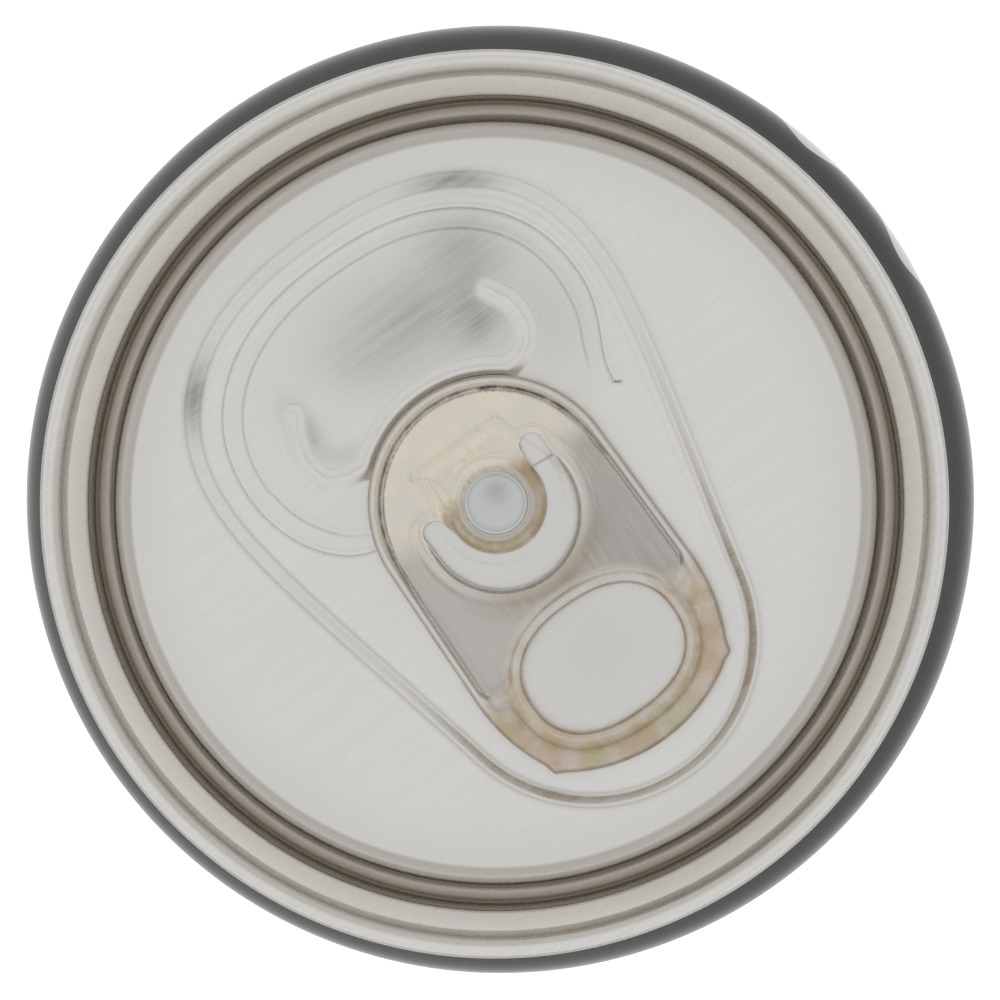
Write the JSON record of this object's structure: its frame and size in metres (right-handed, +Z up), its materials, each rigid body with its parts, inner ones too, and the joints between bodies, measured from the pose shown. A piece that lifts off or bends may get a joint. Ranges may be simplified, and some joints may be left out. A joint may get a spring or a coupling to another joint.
{
  "type": "drinks can",
  "caption": "Slim sealed aluminium drinks can with a seamed end, a scored tear panel and a riveted lift tab that opens it.",
  "frame": {"origin": "centre of the ring the can stands on", "axes": "+Z up along the can's axis and through the rivet, the pouring mouth towards -Y, the tab's tail towards +Y"},
  "size_m": [0.058, 0.058, 0.1458],
  "materials": {
    "printed_body": "gloss dark print over drawn aluminium, off-white print below the neck",
    "end_metal": "bright lacquered aluminium with fine rolling grain",
    "tab_metal": "bright lacquered aluminium with fine grain and warm stains round the tongue",
    "compound": "matte"
  },
  "bodies": {
    "can": {"can_body": "printed_body", "can_end": "end_metal", "seam_compound": "compound", "tab_tongue": "tab_metal"},
    "tab_lever": {"tab_lever": "tab_metal"},
    "tear_panel": {"tear_panel": "end_metal"}
  },
  "joints": [
    {"name": "tab_lift", "type": "hinge", "parent": "can", "child": "tab_lever", "pos_m": [0, -0.0032, 0.14133], "axis": [1, 0, 0], "range_deg": [0, 90]},
    {"name": "tear_panel_hinge", "type": "hinge", "parent": "can", "child": "tear_panel", "pos_m": [0, -0.00245, 0.14094], "axis": [1, 0, 0], "range_deg": [0, 90]}
  ],
  "couplings": [
    {"joint": "tear_panel_hinge", "follows": "tab_lift", "ratio": 1}
  ]
}
